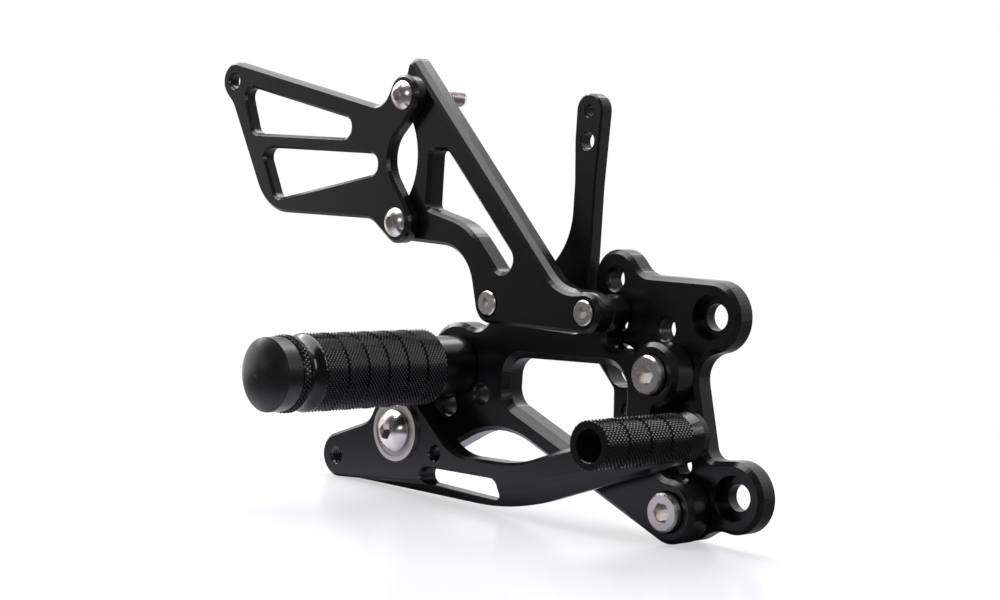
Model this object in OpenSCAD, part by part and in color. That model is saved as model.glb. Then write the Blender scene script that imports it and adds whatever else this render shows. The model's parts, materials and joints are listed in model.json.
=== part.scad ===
// Right-hand motorcycle rear set: the plates that bolt to the frame, the rider's footrest, the heel guard
// and the brake pedal with its ball bearing.
// Millimetres. +X is forward on the bike, +Z is up and -Y is outwards, away from the frame.
// The origin is the centre of the upper frame hole on the plate's back face, which lies against the frame.
// Every plate is drawn in side view (x forward, y up) and built outwards, and laid() turns it upright.

/* [Frame plate] */
// Thickness of the frame plate
mount_t = 8; // [6:0.5:12]
// Lower frame hole, forward of the upper one
frame_step = 14.5; // [10:0.5:18]
// Lower frame hole, below the upper one
frame_drop = 57.5; // [54:0.5:64]
// Diameter of the two frame bolt holes
frame_hole_d = 9; // [6:0.5:11]
// Diameter of the recess round each frame hole
frame_recess_d = 15.2; // [13:0.2:18]
// Depth of the recess round each frame hole
frame_recess_h = 3.8; // [1:0.2:5]
// Diameter of the bosses round the frame holes
frame_boss_d = 24; // [20:0.5:26]
// Height of the plate's top edge above the upper frame hole
mount_top = 11.2; // [9:0.2:11.6]
// Edge chamfer of the frame plate
mount_edge = 1.5; // [0.5:0.1:2]
// Diameter of the bore below the spare threads
mount_bore_d = 15; // [8:0.5:15.5]

/* [Bracket bolts and their spare threads] */
// Upper bracket bolt, forward of the upper frame hole
bolt_x = -15.4; // [-18:0.2:-13]
// Upper bracket bolt, above the upper frame hole
bolt_z = -20.4; // [-23:0.2:-18]
// Lower bracket bolt, forward of the upper one
bolt_span_x = 10.9; // [8:0.1:13]
// Lower bracket bolt, below the upper one
bolt_span_z = 44; // [42:0.2:47]
// Rise from one row of threads to the next
row_rise = 14.5; // [13:0.1:16]
// Shift to the rear from one row of threads to the next
row_lean = 2.8; // [0:0.1:4]
// Distance between the two columns of threads
column_back = 21.3; // [19:0.1:23]
// Thread diameter of the bracket bolts
bolt_d = 8; // [5:0.5:8.5]
// Head diameter of the bracket bolts
bolt_head_d = 13; // [12:0.2:14]
// Head height of the bracket bolts
bolt_head_h = 8; // [6:0.2:9]
// Height of the bolt heads above the bracket
bolt_proud = 3; // [1:0.2:4]
// Diameter of the bosses round the bracket bolts
bolt_boss_d = 21.4; // [19:0.2:23]

/* [Footrest bracket] */
// Thickness of the footrest bracket
bracket_t = 9.5; // [8:0.5:12]
// Edge chamfer of the footrest bracket
bracket_edge = 1.5; // [0.5:0.1:2]
// Chamfer round the bracket's window
window_edge = 2.4; // [1:0.1:3]
// Footrest axis, forward of the upper frame hole
peg_x = -107; // [-110:0.5:-104]
// Footrest axis, above the upper frame hole
peg_z = -28.6; // [-31:0.2:-26]
// Diameter of the bracket's round end behind the footrest
hub_d = 30.8; // [28:0.2:34]
// Brake pedal pivot, forward of the upper frame hole
pivot_x = -121.4; // [-124:0.2:-119]
// Brake pedal pivot, above the upper frame hole
pivot_z = -53.5; // [-56:0.2:-52]
// Diameter of the bracket's round end behind the pivot
pivot_lug_d = 22; // [19:0.5:25]
// Height of the arm that runs down to the lower bolt
lower_arm_h = 8; // [6:0.2:10]
// Diameter of the two lightening holes under the footrest
light_hole_d = 7; // [4:0.5:8]

/* [Upper bracket] */
// Thickness of the upper bracket
upper_t = 8; // [6:0.5:10]
// Edge chamfer of the upper bracket
upper_edge = 1.2; // [0.5:0.1:1.8]
// Wide bevel along the upper bracket's sloping spar
spar_bevel = 2.2; // [0:0.1:2.6]
// Width of the sloping spar
spar_w = 9.3; // [7:0.1:11]
// Rear clamp screw, forward of the upper frame hole
clamp_rear_x = -85.7; // [-88:0.2:-84]
// Rear clamp screw, above the upper frame hole
clamp_rear_z = -3.9; // [-5:0.1:-3]
// Front clamp screw, forward of the upper frame hole
clamp_front_x = -40.1; // [-42:0.1:-39]
// Front clamp screw, above the upper frame hole
clamp_front_z = -2.5; // [-3.5:0.1:-1.5]
// Thread diameter of the clamp screws
clamp_d = 5; // [4:0.5:6]
// Head diameter of the clamp screws
clamp_head_d = 8.7; // [8:0.1:9.5]
// Head height of the clamp screws
clamp_head_h = 5; // [4:0.1:6]
// Height of the clamp screw heads above the bracket
clamp_proud = 0.6; // [0:0.1:1.5]
// Diameter of the bosses round the clamp screws
clamp_boss_d = 14; // [12:0.2:17]
// Radius of the hollow behind the rear clamp screw
hollow_r = 15.9; // [14:0.1:17]
// Width of the curved rib round that hollow
rib_w = 10.2; // [6:0.2:12]

/* [Heel guard] */
// Thickness of the heel guard
guard_t = 5; // [3:0.5:8]
// Edge chamfer of the heel guard
guard_edge = 1; // [0.5:0.1:1.6]
// Master cylinder bolts, forward of the upper frame hole
stud_x = -129.8; // [-132:0.2:-128]
// Upper master cylinder bolt, above the upper frame hole
stud_z = 66.4; // [64:0.2:68]
// Distance between the two master cylinder bolts
stud_pitch = 45.6; // [44:0.2:50]
// Thread diameter of the master cylinder bolts
stud_d = 6; // [5:0.5:7]
// Pitch of that thread
stud_thread_pitch = 1; // [0.8:0.1:1.2]
// Length of the master cylinder bolts under the head
stud_l = 30; // [25:1:35]
// Head diameter of the master cylinder bolts
stud_head_d = 10.5; // [9:0.1:12]
// Head height of the master cylinder bolts
stud_head_h = 3.3; // [2.5:0.1:4]
// Diameter of the bosses round the master cylinder bolts
stud_boss_d = 15; // [13:0.2:16]
// Centre of the guard's rear lobe, behind the master cylinder bolts
lobe_back = 97.1; // [90:0.5:105]
// Centre of the guard's rear lobe, above the upper bolt
lobe_rise = 1.8; // [0:0.2:4]
// Diameter of the guard's rear lobe
lobe_d = 14.6; // [13:0.2:16]
// Diameter of the hole in the rear lobe
lobe_hole_d = 6; // [4:0.5:7]

/* [Switch arm] */
// Thickness of the switch arm
arm_t = 5.4; // [4:0.2:7]
// Switch arm's centre line, forward of the upper frame hole
arm_x = -59.6; // [-61:0.2:-59]
// Upper hole of the switch arm, above the upper frame hole
arm_top_z = 64.8; // [60:0.5:70]
// Distance between the switch arm's two holes
arm_pitch = 10.3; // [9.5:0.1:12]
// Width of the switch arm
arm_w = 9.8; // [9:0.2:10.6]
// Diameter of the arm's upper hole
arm_small_d = 4.2; // [3:0.2:5]
// Diameter of the arm's lower hole
arm_large_d = 6.2; // [5:0.2:7]
// Edge chamfer of the switch arm
arm_edge = 0.6; // [0.3:0.1:1]

/* [Footrest] */
// Diameter of the knurled grip
grip_d = 26.8; // [24:0.2:29]
// Length of the knurled grip
grip_l = 55.6; // [40:0.5:65]
// Diameter of the spacer behind the grip
collar_d = 21.6; // [16:0.2:24]
// Length of the spacer behind the grip
collar_l = 16.3; // [15.5:0.1:20]
// Number of ring grooves in the grip
grip_rings = 5; // [2:1:6]
// Length of the waist past the grip
waist_l = 7.2; // [5:0.2:9]
// Depth of the waist
waist_h = 1.9; // [1:0.1:3]
// Width of the knurled rim past the waist
rim_l = 2.4; // [1.5:0.1:4]
// Diameter of the end cap
cap_d = 25; // [20:0.2:26]
// Length of the end cap's straight part
cap_l = 6.2; // [4:0.2:8]
// Height of the end cap's dome
cap_dome = 4.2; // [2:0.2:6]
// Thread diameter of the footrest bolt
peg_bolt_d = 8; // [6:0.5:8.5]
// Length of the footrest bolt under its head
peg_bolt_l = 50; // [40:1:60]

/* [Brake pedal] */
// Thickness of the brake pedal
pedal_t = 8; // [7:0.5:9]
// Gap between the footrest bracket and the pedal
pedal_gap = 6; // [5:0.5:8]
// Edge chamfer of the brake pedal
pedal_edge = 1; // [0.5:0.1:1.5]
// Width of the bevel under the pedal
pedal_bevel = 7; // [3:0.5:8]
// Depth of the bevel under the pedal
pedal_bevel_h = 5; // [3:0.5:5.5]
// Toe peg axis, forward of the upper frame hole
toe_x = 8.7; // [5:0.1:12]
// Toe peg axis, above the upper frame hole
toe_z = -37; // [-39:0.2:-35]
// Diameter of the pedal's front end
toe_end_d = 16; // [15:0.2:18]
// Push rod hole, behind the pivot
rod_back = 32.4; // [30:0.2:35]
// Push rod hole, below the pivot
rod_drop = 13.7; // [12:0.1:15]
// Thread diameter of the push rod hole
rod_d = 6; // [4:0.5:8]
// Diameter of the pedal's rear end
rod_end_d = 16; // [14:0.2:18]
// Diameter of the pedal's round body at the pivot
pedal_hub_d = 30; // [28:0.2:31]
// Diameter of the spring hole in the pedal
spring_hole_d = 5.4; // [3:0.2:6]

/* [Toe peg] */
// Diameter of the toe peg
toe_d = 16; // [14:0.2:18]
// Length of the toe peg
toe_l = 40.8; // [30:0.2:45]
// Number of ring grooves in the toe peg
toe_rings = 3; // [2:1:4]
// Thread diameter of the toe peg screw
toe_screw_d = 6; // [4:0.5:6.5]
// Head diameter of the toe peg screw
toe_head_d = 10; // [8:0.2:10.6]
// Head height of the toe peg screw
toe_head_h = 6; // [4:0.2:7]
// Depth of the screw head below the peg's end
toe_sunk = 18; // [4:0.5:20]

/* [Pedal bearing] */
// Outside diameter of the bearing
bearing_d = 22; // [20:0.1:23]
// Bore of the bearing, and thread diameter of the pivot bolt
bearing_bore = 8; // [6:0.5:8]
// Width of the bearing
bearing_w = 7; // [6:0.1:8]
// Height of the bearing above the pedal
bearing_proud = 1.5; // [1:0.1:2]
// Number of balls
ball_count = 7; // [5:1:9]
// Ball diameter
ball_d = 3.97; // [3:0.01:4.2]
// Head diameter of the pivot bolt
pivot_head_d = 15; // [13:0.2:16]
// Head height of the pivot bolt
pivot_head_h = 4.8; // [3.5:0.1:5.5]

/* [Fits] */
// Gap between a screw and its hole, at each side
hole_gap = 0.2; // [0.1:0.05:0.4]
// Gap between a screw and its thread, at each side
thread_gap = 0.05; // [0.03:0.01:0.1]
// Gap between bearing rings, bolt and pedal, at each side
bearing_gap = 0.03; // [0.02:0.01:0.05]
// Gap between a screw head and its recess, at each side
head_gap = 0.6; // [0.3:0.1:1]

/* [Hidden] */

// A bore or a disc is a true circle at this many sides
round_fn = 64;
// The most that an outline's arcs stray from the true curve
arc_sag = 0.02;
// A cutter passes this far beyond the face that it cuts
over = 1;
// Room left between an outline's touching arcs
arc_slack = 0.05;

// Distances outwards from the frame
bracket_out = mount_t;
upper_out = bracket_out + bracket_t;
guard_out = upper_out + upper_t;
pedal_out = upper_out + pedal_gap;
pedal_face = pedal_out + pedal_t;
bearing_face = pedal_face + bearing_proud;
bearing_out = bearing_face - bearing_w;
grip_out = upper_out + collar_l;
waist_out = grip_out + grip_l;
rim_out = waist_out + waist_l;
cap_out = rim_out + rim_l;
toe_face = pedal_face + toe_l;
arm_out = bracket_out - arm_t;

// Places in side view
frame_upper = [0, 0];
frame_lower = [frame_step, -frame_drop];
bolt_upper = [bolt_x, bolt_z];
span = [bolt_span_x, -bolt_span_z];
bolt_lower = bolt_upper + span;
row = [-row_lean, row_rise];
column = [-column_back, 0];
thread_front = bolt_upper + row;
thread_middle = thread_front + column;
thread_rear = thread_middle + row;
bore_rear = bolt_upper + column;
peg = [peg_x, peg_z];
pivot = [pivot_x, pivot_z];
clamp_rear = [clamp_rear_x, clamp_rear_z];
clamp_front = [clamp_front_x, clamp_front_z];
stud_upper = [stud_x, stud_z];
stud_lower = [stud_x, stud_z - stud_pitch];
lobe = stud_upper + [-lobe_back, lobe_rise];
arm_small = [arm_x, arm_top_z];
arm_large = [arm_x, arm_top_z - arm_pitch];
toe = [toe_x, toe_z];
rod = pivot - [rod_back, rod_drop];

// An outline is a list of corners [x, y, radius, side, bevel], run anticlockwise from corner to corner along
// their common tangents. Side 1 turns round a boss and side -1 round a hollow. Where bevel is given, the
// wide bevel of that plate reaches this share of its full width there.
function corner(at, r, side = 1, bevel = 0) = [at[0], at[1], r, side, bevel];

// Signed radius of a corner once the outline is drawn in by the edge chamfer and the wide bevel
function reach(c, inset, bevel) = c[2] * c[3] - inset - bevel * c[4];

// Heading of the tangent from one corner to the next
function heading(a, b, inset, bevel) =
    let (d = [b[0] - a[0], b[1] - a[1]])
    atan2(d[1], d[0]) + asin((reach(a, inset, bevel) - reach(b, inset, bevel)) / norm(d));

// Turn made at a corner, left round a boss and right round a hollow
function turn(side, from, to) = (to - from + side * 720) % 360;

// Angle that a straight step along an arc of this radius may span
function step_angle(r) = 2 * acos(1 - arc_sag / max(r, 1));

// Points of an outline drawn in by inset and bevel. Every level has the same number of points.
function level_points(outline, inset, bevel) =
    let (n = len(outline))
    [for (i = [0 : n - 1])
        let (
            a = outline[(i + n - 1) % n],
            b = outline[i],
            c = outline[(i + 1) % n],
            full = turn(b[3], heading(a, b, 0, 0), heading(b, c, 0, 0)),
            steps = max(1, ceil(abs(full) / step_angle(b[2]))),
            from = heading(a, b, inset, bevel),
            swing = turn(b[3], from, heading(b, c, inset, bevel)),
            r = reach(b, inset, bevel)
        )
        for (k = [0 : steps])
            let (h = from + swing * k / steps)
            [b[0] + r * sin(h), b[1] - r * cos(h)]
    ];

// Centre of an arc of radius r that touches circle a (centre, radius ra) and circle b (centre, radius rb)
// from outside, on the left of the way from a to b (side 1) or on its right (side -1)
function nest(a, ra, b, rb, r, side) =
    let (
        d = norm(b - a),
        u = (b - a) / d,
        p = ra + r + arc_slack,
        q = rb + r + arc_slack,
        along = (d * d + p * p - q * q) / (2 * d),
        across = side * sqrt(max(0, p * p - along * along))
    )
    a + along * u + across * [-u[1], u[0]];

// Centre of a hollow of radius r that lies beside a boss (centre at, radius boss), at angle a from it
function beside(at, boss, r, a, gap = arc_slack) = at + (boss + r + gap) * [cos(a), sin(a)];

// Centre of a hollow of radius r that touches a boss and stands on the upright line at x, above the boss
// (side 1) or below it (side -1)
function hollow_on_x(at, boss, r, x, side) =
    let (reach_r = boss + r + arc_slack, dx = x - at[0])
    [x, at[1] + side * sqrt(max(0, reach_r * reach_r - dx * dx))];

// Centre of a hollow of radius r that touches a boss and stands on the level line at y, forward of the boss
// (side 1) or behind it (side -1)
function hollow_on_y(at, boss, r, y, side) =
    let (reach_r = boss + r + arc_slack, dy = y - at[1])
    [at[0] + side * sqrt(max(0, reach_r * reach_r - dy * dy)), y];

// Height at x of the centre of an arc of radius r that touches the line with unit normal n and offset d,
// from below it (side -1) or from above it (side 1)
function height_on(n, d, x, r, side) = (d + side * r - x * n[0]) / n[1];

// A solid through levels [z, inset, bevel] of one outline
module slab(outline, levels) {
    rings = [for (l = levels) level_points(outline, l[1], l[2])];
    n = len(rings[0]);
    m = len(levels);
    points = [for (j = [0 : m - 1]) for (p = rings[j]) [p[0], p[1], levels[j][0]]];
    sides = [
        for (j = [0 : m - 2]) for (i = [0 : n - 1])
            let (a = j * n + i, b = j * n + (i + 1) % n)
            each [[a, a + n, b + n], [a, b + n, b]]
    ];
    bottom = [for (i = [0 : n - 1]) i];
    top = [for (i = [n - 1 : -1 : 0]) (m - 1) * n + i];
    // Kept at its own size, as a mesh whose hollow end faces are divided into triangles
    resize([0, 0, 0]) polyhedron(points, concat([bottom], sides, [top]));
}

// A plate with both edges chamfered
module plate(outline, z, t, edge) {
    slab(outline, [[z, edge / 2, 0], [z + edge / 2, 0, 0], [z + t - edge, 0, 0], [z + t, edge, 0]]);
}

// The cutter for a window whose two rims are chamfered
module window(outline, z, t, edge) {
    slab(outline, [
        [z - over, -edge / 2 - over, 0], [z + edge / 2, 0, 0],
        [z + t - edge, 0, 0], [z + t + over, -edge - over, 0]
    ]);
}

// A round bar along the outward direction
module bar(at, d, z0, z1) {
    translate([at[0], at[1], z0]) cylinder(d = d, h = z1 - z0, $fn = round_fn);
}

// A round cutter through a plate, with both rims broken by a small chamfer
module drill(at, d, z, t, rim = 0.5) {
    bar(at, d, z - over, z + t + over);
    translate([at[0], at[1], z + t - rim])
        cylinder(d1 = d, d2 = d + 2 * (rim + over), h = rim + over, $fn = round_fn);
    translate([at[0], at[1], z - over])
        cylinder(d1 = d + 2 * (rim + over), d2 = d, h = rim + over, $fn = round_fn);
}

// A hexagon socket cut down from height z
module hex_socket(z, across, depth) {
    translate([0, 0, z - depth]) cylinder(d = across / cos(30), h = depth + over, $fn = 6);
}

// A screw with a straight head, its seat at z = 0 and its head upwards
module cap_screw(d, l, head_d, head_h) {
    rim = head_d * 0.05;
    difference() {
        union() {
            cylinder(d = head_d, h = head_h - rim, $fn = round_fn);
            translate([0, 0, head_h - rim])
                cylinder(d1 = head_d, d2 = head_d - 2 * rim, h = rim, $fn = round_fn);
            translate([0, 0, -l]) cylinder(d = d, h = l + over, $fn = round_fn);
        }
        hex_socket(head_h, d * 0.76, head_h * 0.55);
    }
}

// A screw with a domed head, its seat at z = 0 and its head upwards
module button_screw(d, l, head_d, head_h) {
    skirt = head_h * 0.16;
    rise = head_h - skirt;
    ball_r = (rise * rise + head_d * head_d / 4) / (2 * rise);
    difference() {
        union() {
            intersection() {
                cylinder(d = head_d, h = head_h + over, $fn = round_fn);
                translate([0, 0, head_h - ball_r]) sphere(r = ball_r, $fn = round_fn);
            }
            translate([0, 0, -l]) cylinder(d = d, h = l + skirt, $fn = round_fn);
        }
        hex_socket(head_h, d * 0.66, head_h * 0.6);
        translate([0, 0, -ball_r * 2]) difference() {
            cylinder(d = head_d + 2 * over, h = ball_r * 2, $fn = round_fn);
            translate([0, 0, -over]) cylinder(d = d, h = ball_r * 2 + 2 * over, $fn = round_fn);
        }
    }
}

// Turns a side view drawing upright, with its height pointing outwards from the frame
module laid() {
    rotate([90, 0, 0]) children();
}

// Frame plate
mount_lobe_r = 10;
top_dip_r = 8;
spine_x = -4;
neck_r = 9;
foot_r = 4.6;
mount_outline = [
    corner(frame_lower, frame_boss_d / 2),
    corner(beside(frame_lower, frame_boss_d / 2, foot_r, 118, 1), foot_r, -1),
    corner(hollow_on_x(frame_upper, frame_boss_d / 2, neck_r, spine_x + neck_r, -1), neck_r, -1),
    corner(frame_upper, frame_boss_d / 2),
    corner([thread_rear[0] + 14.8, mount_top + top_dip_r], top_dip_r, -1),
    corner(thread_rear, mount_lobe_r),
    corner(bore_rear + [-9.8, 3.9], 5),
    corner(bore_rear + [-6.3, -9.4], 2, -1),
    corner(thread_rear + span + [-4.6, -10.6], 4),
    corner(bolt_lower, bolt_boss_d / 2 - 0.2),
    corner(nest(bolt_lower, bolt_boss_d / 2, frame_lower, frame_boss_d / 2, 12, -1), 12, -1)
];

module mount_plate() {
    color("#1b1b1d") laid() difference() {
        plate(mount_outline, 0, mount_t, mount_edge);
        for (at = [frame_upper, frame_lower]) {
            bar(at, frame_hole_d, -over, mount_t);
            bar(at, frame_recess_d, mount_t - frame_recess_h, mount_t + over);
        }
        for (at = [bolt_upper, thread_front, thread_middle, thread_rear])
            drill(at, bolt_d + 2 * thread_gap, 0, mount_t);
        for (at = [bolt_lower, thread_front + span, thread_rear + span])
            drill(at, bolt_d + 2 * thread_gap, 0, mount_t);
        drill(bore_rear, mount_bore_d, 0, mount_t);
    }
}

// Footrest bracket
boss_r = bolt_boss_d / 2;
hub_r = hub_d / 2;
lug_r = clamp_boss_d / 2 - 1;
strip_x = bolt_upper[0] + 1.9;
step_z = clamp_front[1] - 11.5;
shelf_z = clamp_front[1] - 7.2;
hub_fillet = max(8, (norm(peg - clamp_rear) - hub_r - lug_r) / 2 + 2);
belly_r = 34.7;
belly = peg + [25, -20.3 - belly_r];
bracket_outline = [
    corner(bolt_lower, boss_r),
    corner(hollow_on_x(bolt_lower, boss_r, 8, strip_x + 8, 1), 8, -1),
    corner(hollow_on_x(bolt_upper, boss_r, 3, strip_x + 3, -1), 3, -1),
    corner(bolt_upper, boss_r),
    corner(hollow_on_y(bolt_upper, boss_r, 2, step_z + 2, -1), 2, -1),
    corner(hollow_on_y(clamp_front, lug_r, 4, step_z + 4, 1), 4, -1),
    corner(clamp_front, lug_r),
    corner(hollow_on_y(clamp_front, lug_r, 6, shelf_z + 6, -1), 6, -1),
    corner(hollow_on_y(clamp_rear, lug_r, 6, shelf_z + 6, 1), 6, -1),
    corner(clamp_rear, lug_r),
    corner(nest(clamp_rear, lug_r, peg, hub_r, hub_fillet, -1), hub_fillet, -1),
    corner(peg, hub_r),
    corner(pivot, pivot_lug_d / 2),
    corner(belly, belly_r, -1)
];
window_r = 7;
window_x = peg_x + 25 + window_r;
arm_down = heading(corner(belly, belly_r, -1), corner(bolt_lower, boss_r), 0, 0);
arm_n = [-sin(arm_down), cos(arm_down)];
window_low = belly[0] * arm_n[0] + belly[1] * arm_n[1] + belly_r + lower_arm_h;
window_front = bolt_upper[0] - 11.8;
window_outline = [
    corner([window_x, height_on(arm_n, window_low, window_x, window_r, 1)], window_r),
    corner([window_front - 5, height_on(arm_n, window_low, window_front - 5, 5, 1)], 5),
    corner([window_front - 8.3, bolt_upper[1] - 7.6], 8.3),
    corner([window_x, peg_z + 6.4 - window_r], window_r)
];
light_holes = [peg + [-2.9, -14.8], peg + [13.1, -8.7]];
peg_head_d = 13;
peg_head_h = 5;

module footrest_bracket() {
    recess_h = bolt_head_h - bolt_proud;
    color("#1b1b1d") laid() difference() {
        plate(bracket_outline, bracket_out, bracket_t, bracket_edge);
        window(window_outline, bracket_out, bracket_t, window_edge);
        for (at = [bolt_upper, bolt_lower]) {
            bar(at, bolt_d + 2 * hole_gap, bracket_out - over, upper_out + over);
            bar(at, bolt_head_d + 2 * head_gap, upper_out - recess_h, upper_out + over);
        }
        for (at = light_holes) drill(at, light_hole_d, bracket_out, bracket_t);
        for (at = [clamp_rear, clamp_front])
            bar(at, clamp_d + 2 * thread_gap, bracket_out - over, upper_out + over);
        bar(pivot, bearing_bore + 2 * thread_gap, bracket_out - over, upper_out + over);
        bar(peg, peg_bolt_d + 2 * hole_gap, bracket_out - over, upper_out + over);
        bar(peg, peg_head_d + 2 * hole_gap, bracket_out - over, bracket_out + peg_head_h);
    }
}

// Upper bracket
spar_angle = -43.9;
spar_out = -33.1;
spar_n = [-sin(spar_angle), cos(spar_angle)];
clamp_r = clamp_boss_d / 2;
stud_r = stud_boss_d / 2;
post_r = stud_r - 1;
nose_r = 3;
nose_x = stud_x - 2.2;
nose = [nose_x, height_on(spar_n, spar_out, nose_x, nose_r, -1)];
sweep_r = 16;
sweep_gap = clamp_r + sweep_r + arc_slack + spar_bevel / 2;
sweep_rise = spar_out + sweep_r - clamp_front[0] * spar_n[0] - clamp_front[1] * spar_n[1];
sweep_run = sqrt(max(0, sweep_gap * sweep_gap - sweep_rise * sweep_rise));
sweep = clamp_front + sweep_rise * spar_n + sweep_run * [-spar_n[1], spar_n[0]];
hollow = beside(clamp_rear, clamp_r, hollow_r, 174.6, 1.7);
post_scallop_r = 25;
upper_outline = [
    corner(clamp_front, clamp_r),
    corner(sweep, sweep_r, -1, 0.5),
    corner(nose, nose_r, 1, 0.5),
    corner(stud_upper, post_r),
    corner(nest(stud_lower, post_r, stud_upper, post_r, post_scallop_r, 1), post_scallop_r, -1),
    corner(stud_lower, post_r),
    corner(hollow, hollow_r, -1),
    corner(clamp_rear, clamp_r)
];
tri_r = 2.2;
tri_tip_r = 4.5;
tri_x = stud_x + 13;
tri_top_x = tri_x + 5.3;
tri_tip_x = clamp_rear[0] + 5.7;
rib_r = hollow_r + rib_w;
spar_inner = spar_out - spar_w;
tri_top = height_on(spar_n, spar_inner, tri_top_x, tri_r, -1);
triangle_outline = [
    corner(hollow_on_x(hollow, rib_r, tri_r, tri_x, 1) + [0, 2.5], tri_r),
    corner(hollow, rib_r, -1),
    corner([tri_tip_x, height_on(spar_n, spar_inner, tri_tip_x, tri_tip_r, -1)], tri_tip_r),
    corner([tri_top_x, tri_top], tri_r),
    corner([tri_x, tri_top], tri_r)
];

module upper_bracket() {
    recess_h = clamp_head_h - clamp_proud;
    face = guard_out;
    color("#1b1b1d") laid() difference() {
        slab(upper_outline, [
            [upper_out, upper_edge / 2, 0], [upper_out + upper_edge / 2, 0, 0],
            [face - upper_edge - spar_bevel, 0, 0], [face - upper_edge, 0, spar_bevel],
            [face, upper_edge, spar_bevel]
        ]);
        window(triangle_outline, upper_out, upper_t, upper_edge);
        for (at = [stud_upper, stud_lower])
            bar(at, stud_d + 2 * hole_gap, upper_out - over, face + over);
        for (at = [clamp_rear, clamp_front]) {
            bar(at, clamp_d + 2 * hole_gap, upper_out - over, face + over);
            bar(at, clamp_head_d + 2 * head_gap, face - recess_h, face + over);
        }
    }
}

// Heel guard
lobe_r = lobe_d / 2;
guard_dip_r = 7;
guard_neck_r = 14;
guard_notch_r = 13;
guard_outline = [
    corner(stud_upper, stud_r),
    corner(beside(stud_upper, stud_r, guard_dip_r, 169.3, 0.5), guard_dip_r, -1),
    corner(lobe, lobe_r),
    corner(beside(lobe, lobe_r, guard_neck_r, 237.2, 0.1), guard_neck_r, -1),
    corner(stud_lower + [-63, 18.9], 20),
    corner(beside(stud_lower, stud_r, 9, 208, 2.3), 9, -1),
    corner(stud_lower, stud_r),
    corner([stud_x + 7.2, stud_z - stud_pitch / 2 + 0.4], guard_notch_r, -1)
];
guard_windows = [
    [
        corner(lobe + [11, -5.6], 3.4),
        corner(lobe + [15.3, -16.1], 3.4),
        corner(stud_upper + [-31.4, -13], 3.8)
    ],
    [
        corner(stud_lower + [-72.8, 19.4], 3.4),
        corner(stud_lower + [-66.4, 8], 3.8),
        corner(stud_lower + [-16, 19.9], 3.9)
    ]
];

module heel_guard() {
    color("#1b1b1d") laid() difference() {
        plate(guard_outline, guard_out, guard_t, guard_edge);
        for (w = guard_windows) window(w, guard_out, guard_t, guard_edge);
        for (at = [stud_upper, stud_lower])
            bar(at, stud_d + 2 * hole_gap, guard_out - over, guard_out + guard_t + over);
        drill(lobe, lobe_hole_d, guard_out, guard_t);
    }
}

// Switch arm, held behind the footrest bracket by the rear clamp screw
arm_head_r = 6;
arm_outline = [
    corner(arm_small, arm_head_r),
    corner(arm_large, arm_head_r),
    corner([arm_x - arm_w / 2 - 14, arm_large[1] - 15], 14, -1),
    corner([arm_x - arm_w / 2 - 26, 30], 26, -1),
    corner(clamp_rear, lug_r - 0.4),
    corner([arm_x + arm_w / 2 - 4, clamp_rear[1] + 4.5], 4),
    corner([arm_x + arm_w / 2 + 14, arm_large[1] - 15], 14, -1)
];

module switch_arm() {
    color("#1b1b1d") laid() difference() {
        plate(arm_outline, arm_out, arm_t, arm_edge);
        drill(arm_small, arm_small_d, arm_out, arm_t, 0.3);
        drill(arm_large, arm_large_d, arm_out, arm_t, 0.3);
        bar(clamp_rear, clamp_d + 2 * thread_gap, arm_out - over, bracket_out + over);
    }
}

// Screws in the plates
module bracket_bolt(at) {
    seat = upper_out - (bolt_head_h - bolt_proud);
    color("#c9c9cb") laid() translate([at[0], at[1], seat])
        cap_screw(bolt_d, seat - 1, bolt_head_d, bolt_head_h);
}

module clamp_screw(at, end) {
    seat = guard_out - (clamp_head_h - clamp_proud);
    color("#c9c9cb") laid() translate([at[0], at[1], seat])
        cap_screw(clamp_d, seat - end, clamp_head_d, clamp_head_h);
}

// A master cylinder bolt: the plain shank ends just behind the bracket, and from there the thread stands
// free, drawn at its pitch diameter
module guard_bolt(at) {
    plain_l = guard_out + guard_t - upper_out + 0.5;
    thread_mean_d = stud_d - 0.65 * stud_thread_pitch;
    color("#c9c9cb") laid() translate([at[0], at[1], guard_out + guard_t]) {
        button_screw(stud_d, plain_l, stud_head_d, stud_head_h);
        translate([0, 0, -stud_l]) cylinder(d = thread_mean_d, h = stud_l - over, $fn = round_fn);
    }
}

// Footrest
bolt_room = peg_bolt_d + 2 * thread_gap;
bolt_end = bracket_out + peg_head_h + peg_bolt_l;
plug_l = 14;
groove_w = 0.7;
groove_h = 0.6;
knurl_edge = 0.4;

module footrest_spacer() {
    groove = 0.8;
    color("#1b1b1d") laid() translate([peg[0], peg[1], 0]) rotate_extrude($fn = round_fn) polygon([
        [peg_bolt_d / 2 + hole_gap, upper_out],
        [collar_d / 2 - groove, upper_out],
        [collar_d / 2, upper_out + groove],
        [collar_d / 2, grip_out - 2 * groove],
        [collar_d / 2 - groove, grip_out - groove],
        [collar_d / 2 - groove, grip_out],
        [peg_bolt_d / 2 + hole_gap, grip_out]
    ]);
}

// Profile points of evenly spaced ring grooves in a bar of radius r that runs outwards from z
function ring_grooves(r, z, l, count) = [
    for (i = [1 : count])
        let (at = z + i * l / (count + 1))
        each [[r, at - groove_w / 2 - groove_h / 2], [r - groove_h, at - groove_w / 2],
            [r - groove_h, at + groove_w / 2], [r, at + groove_w / 2 + groove_h / 2]]
];

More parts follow.
